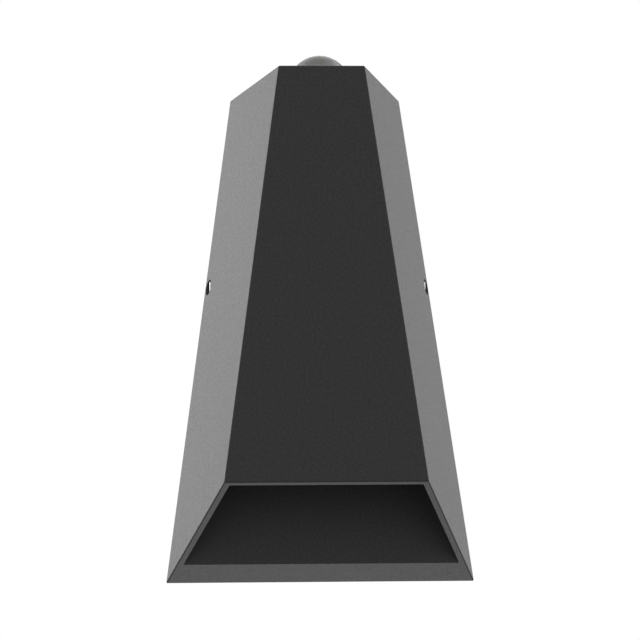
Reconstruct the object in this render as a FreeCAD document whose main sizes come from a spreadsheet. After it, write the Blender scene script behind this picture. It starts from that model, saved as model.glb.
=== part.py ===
"""Up-down wall light: a tapered cast housing on a wall bracket, with a dome lens on top and an open light
recess below.

Frame: the wall is the plane Y = 0 and the light stands out from it towards -Y. +Z is up. The origin is on the
wall, in the middle of the bracket, level with the two side screws. Lengths are in millimetres.
"up" is a height above the housing's lower back edge, "out" is a distance from the wall.
"""
import FreeCAD, Part
import math
import os
import Sketcher

DRIVING_SIZES = (
    # the cast housing
    ("body_height", 220.0, "height of the back of the housing"),
    ("bottom_width", 137.0, "width of the back at its lower edge"),
    ("top_width", 77.0, "width of the back at its upper edge"),
    ("body_depth", 63.5, "distance of the front face from the wall"),
    ("side_inset", 19.8, "how far each side face leans in from the back to the front"),
    ("front_rise", 37.3, "height of the front's lower edge above the back's lower edge"),
    ("shell", 2.7, "thickness of the cast side, back and lower walls"),
    ("front_wall", 1.8, "thickness of the front wall"),
    ("top_wall", 3.0, "thickness of the housing's top"),
    ("back_rim", 12.0, "distance of the light recess from the wall"),
    ("edge_round", 0.6, "rounding of the outer edges"),
    ("recess_top", 78.0, "height of the shelf's underside"),
    ("shelf", 3.5, "thickness of the shelf between the light recess and the chamber"),
    # fits
    ("fit_gap", 0.3, "gap beside a piece that slides or drops into place"),
    ("screw_play", 0.15, "gap round a screw's shank"),
    # the wall bracket and the side screws
    ("screw_height", 132.5, "height of the side screws above the lower back edge"),
    ("screw_out", 4.5, "distance of the side screws from the wall"),
    ("boss_depth", 6.0, "thickness of the side wall and boss at the side screws"),
    ("boss_reach", 8.0, "half height of the side screw bosses"),
    ("grub_radius", 3.0, "radius of the side screws' thread"),
    ("grub_length", 5.8, "length of the side screws"),
    ("grub_socket", 1.5, "radius of the hexagon socket in the side screws"),
    ("grub_socket_depth", 2.6, "depth of that socket"),
    ("mouth_radius", 3.5, "radius of the countersunk mouth of the side screw holes"),
    ("mouth_depth", 1.1, "depth of that mouth"),
    ("bracket_sheet", 2.0, "thickness of the bracket"),
    ("bracket_height", 44.0, "height of the bracket's plate"),
    ("ear_height", 14.0, "height of the bracket's bent ears"),
    ("ear_out", 7.0, "distance of the ears' ends from the wall"),
    ("wall_hole_spacing", 60.0, "distance between the two wall screw holes"),
    ("wall_hole_radius", 2.5, "radius of the wall screw holes"),
    ("cable_hole_radius", 10.0, "radius of the cable hole in the bracket"),
    ("gasket_width", 2.2, "width of the foam strip that seals against the wall"),
    ("gasket_depth", 3.0, "depth of that strip"),
    # the rear cover and what it carries
    ("window_sill", 12.5, "height of the window behind the chamber above the shelf"),
    ("window_top", 19.0, "gap between that window and the chamber's top"),
    ("cover_sheet", 1.8, "thickness of the rear cover"),
    ("cover_lap", 7.0, "how far the rear cover laps over the window's edge"),
    ("cover_side", 1.8, "gap between the rear cover's upper corners and the side walls"),
    ("seal", 1.0, "thickness of the flat seals"),
    ("small_screw", 1.5, "radius of the small screws' shanks"),
    ("small_head", 2.7, "radius of the small screws' heads"),
    ("small_head_height", 1.9, "height of the small screws' heads"),
    ("small_drive", 0.9, "radius of the sockets in the small screws' heads"),
    ("grommet_neck", 6.0, "radius of the cable grommet where it passes the cover"),
    ("grommet_lip", 2.0, "how far the grommet's two lips stand out from its neck"),
    ("grommet_bore", 3.5, "radius of the grommet's bore"),
    ("earth_radius", 2.0, "radius of the earth screw's shank"),
    ("earth_head", 3.8, "radius of the earth screw's head"),
    ("block_half", 15.0, "half width of the terminal block"),
    ("block_height", 14.0, "height of the terminal block"),
    ("block_depth", 16.0, "depth of the terminal block"),
    ("block_pitch", 10.0, "distance between the terminals"),
    ("clamp_radius", 2.0, "radius of the clamp screws in the terminal block"),
    ("clamp_depth", 5.0, "depth of the pockets of the clamp screws"),
    ("wire_hole", 1.6, "radius of the wire holes under the terminal block"),
    ("driver_side", 3.0, "gap between the driver and the window's sides"),
    ("driver_gap", 2.5, "gap between the driver's lower end and the grommet"),
    ("driver_top", 9.0, "gap between the driver's upper end and the window's upper edge"),
    ("driver_depth", 22.0, "depth of the driver"),
    ("lug", 3.0, "thickness of the driver's lugs"),
    ("lug_reach", 7.0, "length of the driver's lugs"),
    ("lug_half", 5.0, "half width of the driver's lugs"),
    ("lug_inset", 6.0, "distance of the lugs' middles inside the driver's sides"),
    # the lower light
    ("glass_side", 9.2, "gap between the glass's front corners and the side walls"),
    ("glass_back", 5.5, "gap between the glass and the recess's back wall"),
    ("glass_front", 7.2, "gap between the glass and the front wall"),
    ("light_lap", 4.5, "how far the glass laps over the window in the shelf"),
    ("glass", 4.0, "thickness of the glass"),
    ("frame_sheet", 3.0, "thickness of the frame that holds the glass"),
    ("post_radius", 3.0, "radius of the posts that carry the frame"),
    ("post_gap", 2.0, "gap between the posts and the glass"),
    ("post_inset", 3.0, "distance of the posts' centres inside the glass's near and far edges"),
    ("board", 1.6, "thickness of the light boards"),
    ("board_lap", 8.0, "how far the lower board laps over the window's edge"),
    ("sink_base", 4.0, "thickness of the heat sink's base"),
    ("fin_height", 9.0, "height of the heat sink's fins"),
    ("fin_sheet", 2.0, "thickness of each fin"),
    ("fin_pitch", 6.0, "distance between the fins"),
    ("chip", 3.0, "side of each light chip"),
    ("chip_height", 0.8, "height of each light chip"),
    ("chip_pitch", 8.0, "distance between the light chips across the board"),
    ("chip_rows", 12.0, "distance between the two rows of light chips"),
    # the upper light
    ("lens_front", 18.7, "distance of the lens's middle from the front wall"),
    ("lens_post_gap", 1.0, "gap between the lens's flange and the posts of its cup"),
    ("lens_rise", 9.3, "height of the dome above the housing's top"),
    ("lens_flange", 2.0, "thickness and overhang of the lens's flange"),
    ("cup_height", 12.0, "height of the cup below the lens"),
    ("cup_wall", 2.7, "thickness of the cup's wall and floor"),
    ("cup_lug", 3.2, "thickness and end radius of the cup's lugs"),
    ("cob_radius", 4.5, "radius of the upper light's chip"),
    ("lead_radius", 1.2, "radius of the inner leads"),
    ("lead_bend", 5.0, "bend radius of the inner leads"),
)

doc = FreeCAD.newDocument("wall_light")
sheet = doc.addObject("Spreadsheet::Sheet", "Sizes")
for row, (alias, value, meaning) in enumerate(DRIVING_SIZES, start=1):
    sheet.set(f"A{row}", alias)
    sheet.set(f"B{row}", str(value))
    sheet.setAlias(f"B{row}", alias)
    sheet.set(f"C{row}", meaning)
doc.recompute()


class Size:
    """A length that carries its value and the sheet expression that gives it."""

    def __init__(self, text, value):
        self.text = text
        self.value = value

    def __add__(self, other):
        other = as_size(other)
        return Size(f"({self.text} + {other.text})", self.value + other.value)

    def __sub__(self, other):
        other = as_size(other)
        return Size(f"({self.text} - {other.text})", self.value - other.value)

    def __mul__(self, other):
        other = as_size(other)
        return Size(f"({self.text} * {other.text})", self.value * other.value)

    __rmul__ = __mul__

    def __truediv__(self, other):
        other = as_size(other)
        return Size(f"({self.text} / {other.text})", self.value / other.value)

    def __neg__(self):
        return Size(f"(-1 * {self.text})", -self.value)

    def root(self):
        return Size(f"sqrt({self.text})", self.value ** 0.5)


def as_size(number):
    return number if isinstance(number, Size) else Size(repr(float(number)), float(number))


class SheetSizes:
    """Gives each alias of the sheet as a Size."""

    def __getattr__(self, alias):
        return Size(f"Sizes.{alias}", float(sheet.get(alias)))


S = SheetSizes()
ZERO = as_size(0.0)
ONE = as_size(1.0)


# the outer faces of the housing, and the places that several pieces share

TAPER = (S.bottom_width - S.top_width) / 2.0 / S.body_height
LEAN = S.side_inset / S.body_depth
SLOPE = S.front_rise / S.body_depth
SIDE_SKIN = S.shell * (ONE + TAPER * TAPER + LEAN * LEAN).root()
BOTTOM_SKIN = S.shell * (ONE + SLOPE * SLOPE).root()


def half_width(up, out):
    """Half the housing's width at a height and a distance from the wall."""
    return S.bottom_width / 2.0 - TAPER * up - LEAN * out


def inner_half(up, out):
    """Half the width between the inner faces of the side walls."""
    return half_width(up, out) - SIDE_SKIN


RECESS_DEPTH = S.back_rim - S.shell
CHAMBER_FRONT = S.body_depth - S.front_wall
SHELF_TOP = S.recess_top + S.shelf
CHAMBER_TOP = S.body_height - S.top_wall

# the side screws and the bracket's ears
SCREW_FACE = half_width(S.screw_height, S.screw_out)
BOSS_FACE = SCREW_FACE - S.boss_depth
EAR_FACE = BOSS_FACE - S.fit_gap

# the window behind the chamber, its cover, and what the cover carries
WINDOW_LOW = SHELF_TOP + S.window_sill
WINDOW_HIGH = CHAMBER_TOP - S.window_top
COVER_LOW = WINDOW_LOW - S.cover_lap
COVER_HIGH = WINDOW_HIGH + S.cover_lap
COVER_MIDDLE = (COVER_LOW + COVER_HIGH) / 2.0
COVER_HALF = inner_half(COVER_HIGH, RECESS_DEPTH) - S.cover_side
WINDOW_HALF = COVER_HALF - S.cover_lap
COVER_IN = RECESS_DEPTH - S.seal
COVER_BACK = COVER_IN - S.cover_sheet
GROMMET_RADIUS = S.grommet_neck + S.grommet_lip
BLOCK_LOW = (WINDOW_LOW + S.screw_height - GROMMET_RADIUS - S.block_height) / 2.0
DRIVER_HALF = WINDOW_HALF - S.driver_side
DRIVER_LOW = S.screw_height + GROMMET_RADIUS + S.driver_gap
DRIVER_HIGH = WINDOW_HIGH - S.driver_top
LUG_ACROSS = DRIVER_HALF - S.lug_inset

# the glass, the light window in the shelf, and the board above it
GLASS_TOP = S.recess_top - S.seal
FRAME_TOP = GLASS_TOP - S.glass
FRAME_LOW = FRAME_TOP - S.frame_sheet
GLASS_NEAR = S.back_rim + S.glass_back
GLASS_FAR = CHAMBER_FRONT - S.glass_front
GLASS_HALF = inner_half(FRAME_TOP, GLASS_FAR) - S.glass_side
POST_ACROSS = GLASS_HALF + S.post_gap + S.post_radius
LIGHT_HALF = GLASS_HALF - S.light_lap
LIGHT_NEAR = GLASS_NEAR + S.light_lap
LIGHT_FAR = GLASS_FAR - S.light_lap
BOARD_HALF = LIGHT_HALF + S.board_lap
BOARD_NEAR = LIGHT_NEAR - S.board_lap
BOARD_FAR = LIGHT_FAR + S.board_lap
BOARD_TOP = SHELF_TOP + S.board
SINK_NEAR = BOARD_NEAR + 2.0 * S.lead_radius + S.fit_gap
SINK_TOP = BOARD_TOP + S.sink_base

# the lens and its cup
LENS_SEAT = CHAMBER_TOP - S.seal
LENS_LOW = LENS_SEAT - S.lens_flange
LENS_OUT = CHAMBER_FRONT - S.lens_front
CUP_ACROSS = inner_half(LENS_LOW, LENS_OUT) - (S.cup_lug + S.fit_gap) * (ONE + LEAN * LEAN).root()
FLANGE_RADIUS = CUP_ACROSS - S.cup_lug - S.lens_post_gap
LENS_RADIUS = FLANGE_RADIUS - S.lens_flange
LENS_HOLE = LENS_RADIUS + S.fit_gap
CUP_LOW = LENS_LOW - S.cup_height
CUP_FLOOR = CUP_LOW + S.cup_wall
CUP_BORE = FLANGE_RADIUS - S.cup_wall

COVER_SCREWS = [(side * (WINDOW_HALF + S.cover_lap / 2.0), up)
                for side in (-1.0, 1.0)
                for up in (COVER_LOW + S.cover_lap / 2.0, COVER_MIDDLE, COVER_HIGH - S.cover_lap / 2.0)]
DRIVER_SCREWS = [(side * LUG_ACROSS, up)
                 for side, up in ((-1.0, DRIVER_LOW - S.lug_reach / 2.0),
                                  (1.0, DRIVER_HIGH + S.lug_reach / 2.0))]
EARTH_SPOT = (LUG_ACROSS, DRIVER_LOW - S.lug_reach)
POSTS = [(side * POST_ACROSS, out)
         for side in (-1.0, 1.0)
         for out in (GLASS_NEAR + S.post_inset, GLASS_FAR - S.post_inset)]
SINK_SCREWS = [(side * (LIGHT_HALF + S.board_lap / 2.0), out)
               for side in (-1.0, 1.0)
               for out in (SINK_NEAR + S.board_lap / 2.0, BOARD_FAR - S.board_lap / 2.0)]
CUP_SCREWS = [(side * CUP_ACROSS, LENS_OUT) for side in (-1.0, 1.0)]


def copies_in(room, pitch):
    """How many copies fit when the first and the last may lie a given room apart."""
    return int(room.value / pitch.value) + 1


# sketches, each bound to the sheet

def place_of(values):
    return FreeCAD.Placement(FreeCAD.Vector(*[item.value for item in values]), FreeCAD.Rotation())


class Drawing:
    """A sketch on one of a body's origin planes, whose points are bound to sizes."""

    def __init__(self, body, role, shift):
        self.sketch = body.newObject("Sketcher::SketchObject", f"{body.Label}_outline")
        plane = next(item for item in body.Origin.OriginFeatures if item.Role == role)
        self.sketch.AttachmentSupport = [(plane, "")]
        self.sketch.MapMode = "FlatFace"
        self.sketch.AttachmentOffset = place_of(shift)
        for axis, item in zip("xyz", shift):
            self.sketch.setExpression(f"AttachmentOffset.Base.{axis}", item.text)

    def bind(self, kind, first, second, length):
        index = self.sketch.addConstraint(Sketcher.Constraint(kind, *first, *second, length.value))
        self.sketch.setExpression(f"Constraints[{index}]", length.text)

    def hold(self, spot, across, along):
        """Ties a point to its distances from the sketch's origin."""
        origin = (-1, 1)
        for kind, axis, length in (("DistanceX", -2, across), ("DistanceY", -1, along)):
            if abs(length.value) < 1e-9:
                self.sketch.addConstraint(Sketcher.Constraint("PointOnObject", *spot, axis))
            elif length.value > 0:
                self.bind(kind, origin, spot, length)
            else:
                self.bind(kind, spot, origin, -length)

    def outline(self, points):
        """Closed outline of (across, along) points. A third item "dome" makes the next stretch an arc that rises
        to the sketch's upright axis and is centred on it."""
        vectors = [FreeCAD.Vector(point[0].value, point[1].value, 0) for point in points]
        edges = []
        for index, point in enumerate(points):
            draw = self.dome if len(point) == 3 else self.line
            edges.append(draw(vectors[index], vectors[(index + 1) % len(points)]))
        for index, point in enumerate(points):
            joined = Sketcher.Constraint("Coincident", edges[index - 1], 2, edges[index], 1)
            self.sketch.addConstraint(joined)
            self.hold((edges[index], 1), point[0], point[1])

    def line(self, start, stop):
        return self.sketch.addGeometry(Part.LineSegment(start, stop))

    def dome(self, start, stop):
        middle = (start.x ** 2 + start.y ** 2 - stop.x ** 2 - stop.y ** 2) / (2 * (start.y - stop.y))
        centre = FreeCAD.Vector(0, middle, 0)
        circle = Part.Circle(centre, FreeCAD.Vector(0, 0, 1), (start - centre).Length)
        arc = Part.ArcOfCircle(circle, circle.parameter(start), circle.parameter(stop))
        index = self.sketch.addGeometry(arc)
        self.sketch.addConstraint(Sketcher.Constraint("PointOnObject", index, 3, -2))
        return index

    def circles(self, spots, radius):
        for across, along in spots:
            centre = FreeCAD.Vector(across.value, along.value, 0)
            index = self.sketch.addGeometry(Part.Circle(centre, FreeCAD.Vector(0, 0, 1), radius.value))
            self.hold((index, 3), across, along)
            self.bind("Radius", (index,), (), radius)

    def rectangle(self, left, right, low, high):
        self.outline([(left, low), (right, low), (right, high), (left, high)])

    def taper(self, low_half, low, high_half, high):
        self.outline([(-low_half, low), (low_half, low), (high_half, high), (-high_half, high)])


def new_body(label):
    body = doc.addObject("PartDesign::Body", label)
    body.Label = label
    body.AllowCompound = True
    return body


def front_drawing(body, out):
    """Seen from the front: across and up, at a distance from the wall. Its pads grow away from the wall."""
    return Drawing(body, "XZ_Plane", (ZERO, -S.screw_height, out))


def plan_drawing(body, up):
    """Seen from above: across and -out, at a height. Its pads grow upwards."""
    return Drawing(body, "XY_Plane", (ZERO, ZERO, up - S.screw_height))


def plan_spots(spots):
    return [(across, -out) for across, out in spots]


# features

def finish_feature(body, feature, grows):
    """Recomputes, and checks that the feature added or removed material."""
    before = body.Shape.Volume if body.Tip and not body.Shape.isNull() else 0.0
    doc.recompute()
    change = body.Shape.Volume - before
    if change * (1 if grows else -1) < 1e-6:
        raise RuntimeError(f"{body.Label}: {feature.Name} changed nothing")
    return feature


def pad(body, drawing, length, back=False):
    feature = body.newObject("PartDesign::Pad", f"{body.Label}_pad")
    feature.Profile = drawing.sketch
    feature.setExpression("Length", length.text)
    feature.Reversed = back
    return finish_feature(body, feature, True)


def pocket(body, drawing, length, back=False):
    """Cuts against the drawing's direction, or along it when back is set."""
    feature = body.newObject("PartDesign::Pocket", f"{body.Label}_pocket")
    feature.Profile = drawing.sketch
    feature.setExpression("Length", length.text)
    feature.Reversed = back
    return finish_feature(body, feature, False)


def loft(body, near, far, cuts=False):
    kind = "PartDesign::SubtractiveLoft" if cuts else "PartDesign::AdditiveLoft"
    feature = body.newObject(kind, f"{body.Label}_loft")
    feature.Profile = near.sketch
    feature.Sections = [far.sketch]
    feature.Ruled = True
    return finish_feature(body, feature, not cuts)


def spin(body, drawing, axis):
    feature = body.newObject("PartDesign::Revolution", f"{body.Label}_turned")
    feature.Profile = drawing.sketch
    feature.ReferenceAxis = (drawing.sketch, [axis])
    feature.Angle = 360
    return finish_feature(body, feature, True)


def small_screws(label, drawing_at, spots, seat, length, away, head_side):
    """Screws with round socket heads. The shanks run from the seat for a length, with the heads on the other
    side. away is +1 where the shanks run along the drawings' direction, and -1 where they run against it."""
    body = new_body(label)
    shanks = drawing_at(body, seat)
    shanks.circles(spots, S.small_screw)
    pad(body, shanks, length, back=away < 0)
    heads = drawing_at(body, seat)
    heads.circles(spots, S.small_head)
    pad(body, heads, S.small_head_height, back=away > 0)
    sockets = drawing_at(body, head_side)
    sockets.circles(spots, S.small_drive)
    pocket(body, sockets, S.small_head_height / 2.0, back=away > 0)
    return body


# the housing and what holds it to the wall

def cut_between(body, near_out, far_out, low, high, half):
    """Cuts a space between two distances from the wall. low and high are heights at a given distance, and
    half gives half the width at a height and a distance."""
    drawings = []
    for out in (near_out, far_out):
        drawing = front_drawing(body, out)
        drawing.taper(half(low(out), out), low(out), half(high(out), out), high(out))
        drawings.append(drawing)
    loft(body, *drawings, cuts=True)


def fixed(length):
    return lambda out: length


def bottom_face(out):
    return SLOPE * out + BOTTOM_SKIN


def make_housing():
    body = new_body("housing")
    back = front_drawing(body, ZERO)
    back.taper(half_width(ZERO, ZERO), ZERO, half_width(S.body_height, ZERO), S.body_height)
    front = front_drawing(body, S.body_depth)
    front.taper(half_width(S.front_rise, S.body_depth), S.front_rise,
                half_width(S.body_height, S.body_depth), S.body_height)
    cast = loft(body, back, front)
    rounding = body.newObject("PartDesign::Fillet", "housing_edges")
    rounding.Base = (cast, [f"Edge{number}" for number in range(1, len(cast.Shape.Edges) + 1)])
    rounding.setExpression("Radius", S.edge_round.text)
    finish_feature(body, rounding, False)

    # the light recess, open below, and the chamber above the shelf
    cut_between(body, S.back_rim, CHAMBER_FRONT, fixed(ZERO), fixed(S.recess_top), inner_half)
    cut_between(body, S.back_rim, CHAMBER_FRONT, fixed(SHELF_TOP), fixed(CHAMBER_TOP), inner_half)

    # the space behind for the bracket: below, between and above the side screw bosses
    boss_low = S.screw_height - S.boss_reach
    boss_high = S.screw_height + S.boss_reach
    cut_between(body, ZERO, RECESS_DEPTH, bottom_face, fixed(boss_low), inner_half)
    cut_between(body, ZERO, RECESS_DEPTH, fixed(boss_high), fixed(CHAMBER_TOP), inner_half)
    between = front_drawing(body, RECESS_DEPTH)
    between.rectangle(-BOSS_FACE, BOSS_FACE, boss_low, boss_high)
    pocket(body, between, RECESS_DEPTH)

    # the window behind the chamber, and the holes for the rear cover's screws
    window = front_drawing(body, S.back_rim)
    window.rectangle(-WINDOW_HALF, WINDOW_HALF, WINDOW_LOW, WINDOW_HIGH)
    pocket(body, window, S.shell)
    cover_holes = front_drawing(body, S.back_rim)
    cover_holes.circles(COVER_SCREWS, S.small_screw + S.screw_play)
    pocket(body, cover_holes, S.shell)

    # the light window in the shelf, the heat sink's holes, and the posts for the glass frame
    light = plan_drawing(body, SHELF_TOP)
    light.rectangle(-LIGHT_HALF, LIGHT_HALF, -LIGHT_FAR, -LIGHT_NEAR)
    pocket(body, light, S.shelf)
    posts = plan_drawing(body, S.recess_top)
    posts.circles(plan_spots(POSTS), S.post_radius)
    pad(body, posts, S.recess_top - FRAME_TOP, back=True)
    for spots, top, depth in ((SINK_SCREWS, SHELF_TOP, S.shelf), (POSTS, SHELF_TOP, SHELF_TOP - FRAME_TOP)):
        holes = plan_drawing(body, top)
        holes.circles(plan_spots(spots), S.small_screw + S.screw_play)
        pocket(body, holes, depth)

    # the lens hole in the top, and the posts for the lens cup
    cup_posts = plan_drawing(body, CHAMBER_TOP)
    cup_posts.circles(plan_spots(CUP_SCREWS), S.cup_lug)
    pad(body, cup_posts, CHAMBER_TOP - LENS_LOW, back=True)
    cup_holes = plan_drawing(body, CHAMBER_TOP)
    cup_holes.circles(plan_spots(CUP_SCREWS), S.small_screw + S.screw_play)
    pocket(body, cup_holes, CHAMBER_TOP - LENS_LOW)
    lens_hole = plan_drawing(body, S.body_height)
    lens_hole.circles([(ZERO, -LENS_OUT)], LENS_HOLE)
    pocket(body, lens_hole, S.top_wall)

    # the side screw holes, each with a wider mouth
    for reach, radius in ((ZERO, S.grub_radius + S.screw_play), (SCREW_FACE - S.mouth_depth, S.mouth_radius)):
        for outward in (True, False):
            start = reach if outward else -reach
            hole = Drawing(body, "YZ_Plane", (-S.screw_out, ZERO, start))
            hole.circles([(ZERO, ZERO)], radius)
            pocket(body, hole, S.bottom_width, back=outward)


def make_wall_gasket():
    """Foam strip inside the back edge, cut away at the side screw bosses."""
    body = new_body("wall_gasket")
    near = ZERO
    far = S.gasket_depth

    def outer(up, out):
        return inner_half(up, out) - S.fit_gap

    def inner(up, out):
        return outer(up, out) - S.gasket_width

    def low(out):
        return bottom_face(out) + S.fit_gap

    def high(out):
        return CHAMBER_TOP - S.fit_gap

    drawings = []
    for out in (near, far):
        drawing = front_drawing(body, out)
        drawing.taper(outer(low(out), out), low(out), outer(high(out), out), high(out))
        drawings.append(drawing)
    loft(body, *drawings)
    cut_between(body, near, far, lambda out: low(out) + S.gasket_width,
                lambda out: high(out) - S.gasket_width, inner)
    gap = front_drawing(body, far)
    gap.rectangle(-S.bottom_width, S.bottom_width, S.screw_height - S.boss_reach - S.fit_gap,
                  S.screw_height + S.boss_reach + S.fit_gap)
    pocket(body, gap, far)


def make_wall_bracket():
    body = new_body("wall_bracket")
    low = S.screw_height - S.bracket_height / 2.0
    high = S.screw_height + S.bracket_height / 2.0
    ear_low = S.screw_height - S.ear_height / 2.0
    ear_high = S.screw_height + S.ear_height / 2.0
    plate = front_drawing(body, ZERO)
    plate_half = EAR_FACE - S.bracket_sheet - S.fit_gap
    plate.rectangle(-plate_half, plate_half, low, high)
    pad(body, plate, S.bracket_sheet)
    strip = front_drawing(body, ZERO)
    strip.rectangle(-EAR_FACE, EAR_FACE, ear_low, ear_high)
    pad(body, strip, S.bracket_sheet)
    ears = front_drawing(body, ZERO)
    for left, right in ((-EAR_FACE, S.bracket_sheet - EAR_FACE), (EAR_FACE - S.bracket_sheet, EAR_FACE)):
        ears.rectangle(left, right, ear_low, ear_high)
    pad(body, ears, S.ear_out)
    holes = front_drawing(body, S.bracket_sheet)
    holes.circles([(side * S.wall_hole_spacing / 2.0, S.screw_height) for side in (-ONE, ONE)],
                  S.wall_hole_radius)
    pocket(body, holes, S.bracket_sheet)
    cable_hole = front_drawing(body, S.bracket_sheet)
    cable_hole.circles([(ZERO, S.screw_height)], S.cable_hole_radius)
    pocket(body, cable_hole, S.bracket_sheet)


def make_side_screw(label, side):
    """Grub screw whose flat tip bears on the bracket's ear."""
    body = new_body(label)
    tip = EAR_FACE + S.screw_play / 2.0
    start = tip if side > 0 else -tip
    shank = Drawing(body, "YZ_Plane", (-S.screw_out, ZERO, start))
    shank.circles([(ZERO, ZERO)], S.grub_radius)
    pad(body, shank, S.grub_length, back=side < 0)
    end = tip + S.grub_length
    socket = Drawing(body, "YZ_Plane", (-S.screw_out, ZERO, end if side > 0 else -end))
    corner = S.grub_socket
    waist = corner * (as_size(3.0).root() / 2.0)
    socket.outline([(corner, ZERO), (corner / 2.0, waist), (-corner / 2.0, waist),
                    (-corner, ZERO), (-corner / 2.0, -waist), (corner / 2.0, -waist)])
    pocket(body, socket, S.grub_socket_depth, back=side < 0)


# the rear cover and what it carries

def make_rear_cover():
    body = new_body("rear_cover")
    plate = front_drawing(body, COVER_BACK)
    plate.rectangle(-COVER_HALF, COVER_HALF, COVER_LOW, COVER_HIGH)
    pad(body, plate, S.cover_sheet)
    holes = front_drawing(body, COVER_IN)
    holes.circles(COVER_SCREWS + DRIVER_SCREWS, S.small_screw + S.screw_play)
    holes.circles([(ZERO, S.screw_height)], S.grommet_neck)
    holes.circles([EARTH_SPOT], S.earth_radius + S.screw_play)
    pocket(body, holes, S.cover_sheet)

    seal = new_body("rear_cover_gasket")
    ring = front_drawing(seal, COVER_IN)
    ring.rectangle(-COVER_HALF, COVER_HALF, COVER_LOW, COVER_HIGH)
    ring.rectangle(-WINDOW_HALF, WINDOW_HALF, WINDOW_LOW, WINDOW_HIGH)
    ring.circles(COVER_SCREWS, S.small_screw + S.screw_play)
    pad(seal, ring, S.seal)

    small_screws("rear_cover_screws", front_drawing, COVER_SCREWS, COVER_BACK,
                 S.cover_sheet + S.seal + S.shell, 1, COVER_BACK - S.small_head_height)


def make_cable_grommet():
    body = new_body("cable_grommet")
    outer_end = COVER_BACK - S.grommet_lip
    inner_end = COVER_IN + S.grommet_lip
    profile = plan_drawing(body, S.screw_height)
    profile.outline([(S.grommet_bore, -outer_end), (GROMMET_RADIUS, -outer_end),
                     (GROMMET_RADIUS, -COVER_BACK), (S.grommet_neck, -COVER_BACK),
                     (S.grommet_neck, -COVER_IN), (GROMMET_RADIUS, -COVER_IN),
                     (GROMMET_RADIUS, -inner_end), (S.grommet_bore, -inner_end)])
    spin(body, profile, "V_Axis")


def make_earth_screw():
    body = new_body("earth_screw")
    shank = front_drawing(body, COVER_BACK)
    shank.circles([EARTH_SPOT], S.earth_radius)
    pad(body, shank, S.cover_sheet + S.lug)
    head = front_drawing(body, COVER_BACK)
    head.circles([EARTH_SPOT], S.earth_head)
    pad(body, head, S.small_head_height, back=True)
    slot = front_drawing(body, COVER_BACK - S.small_head_height)
    slot_half = S.small_drive / 2.0
    across, up = EARTH_SPOT
    slot.rectangle(across - S.earth_head, across + S.earth_head, up - slot_half, up + slot_half)
    pocket(body, slot, S.small_head_height / 2.0, back=True)


def make_terminal_block():
    body = new_body("terminal_block")
    block_high = BLOCK_LOW + S.block_height
    block_end = COVER_IN + S.block_depth
    moulding = front_drawing(body, COVER_IN)
    moulding.rectangle(-S.block_half, S.block_half, BLOCK_LOW, block_high)
    pad(body, moulding, S.block_depth)
    middle = BLOCK_LOW + S.block_height / 2.0
    spots = [(step * S.block_pitch, middle) for step in (-ONE, ZERO, ONE)]
    pockets = front_drawing(body, block_end)
    pockets.circles(spots, S.clamp_radius + S.screw_play)
    pocket(body, pockets, S.clamp_depth)
    wires = plan_drawing(body, BLOCK_LOW)
    wires.circles([(across, -COVER_IN - S.block_depth / 2.0) for across, up in spots], S.wire_hole)
    pocket(body, wires, S.block_height / 2.0, back=True)

    clamps = new_body("terminal_screws")
    clamp_floor = block_end - S.clamp_depth
    shanks = front_drawing(clamps, clamp_floor)
    shanks.circles(spots, S.clamp_radius)
    pad(clamps, shanks, S.clamp_depth / 2.0)
    slots = front_drawing(clamps, clamp_floor + S.clamp_depth / 2.0)
    slot_half = S.small_drive / 2.0
    for across, up in spots:
        slots.rectangle(across - S.clamp_radius, across + S.clamp_radius, up - slot_half, up + slot_half)
    pocket(clamps, slots, S.clamp_depth / 4.0)


def make_driver():
    body = new_body("led_driver")
    case = front_drawing(body, COVER_IN)
    case.rectangle(-DRIVER_HALF, DRIVER_HALF, DRIVER_LOW, DRIVER_HIGH)
    pad(body, case, S.driver_depth)
    lugs = front_drawing(body, COVER_IN)
    for side, low, high in ((-1.0, DRIVER_LOW - S.lug_reach, DRIVER_LOW),
                            (1.0, DRIVER_HIGH, DRIVER_HIGH + S.lug_reach)):
        middle = side * LUG_ACROSS
        lugs.rectangle(middle - S.lug_half, middle + S.lug_half, low, high)
    pad(body, lugs, S.lug)
    holes = front_drawing(body, COVER_IN + S.lug)
    holes.circles(DRIVER_SCREWS, S.small_screw + S.screw_play)
    pocket(body, holes, S.lug)
    small_screws("driver_screws", front_drawing, DRIVER_SCREWS, COVER_IN + S.lug,
                 S.lug + S.cover_sheet, -1, COVER_IN + S.lug + S.small_head_height)


# the lower light

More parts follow.
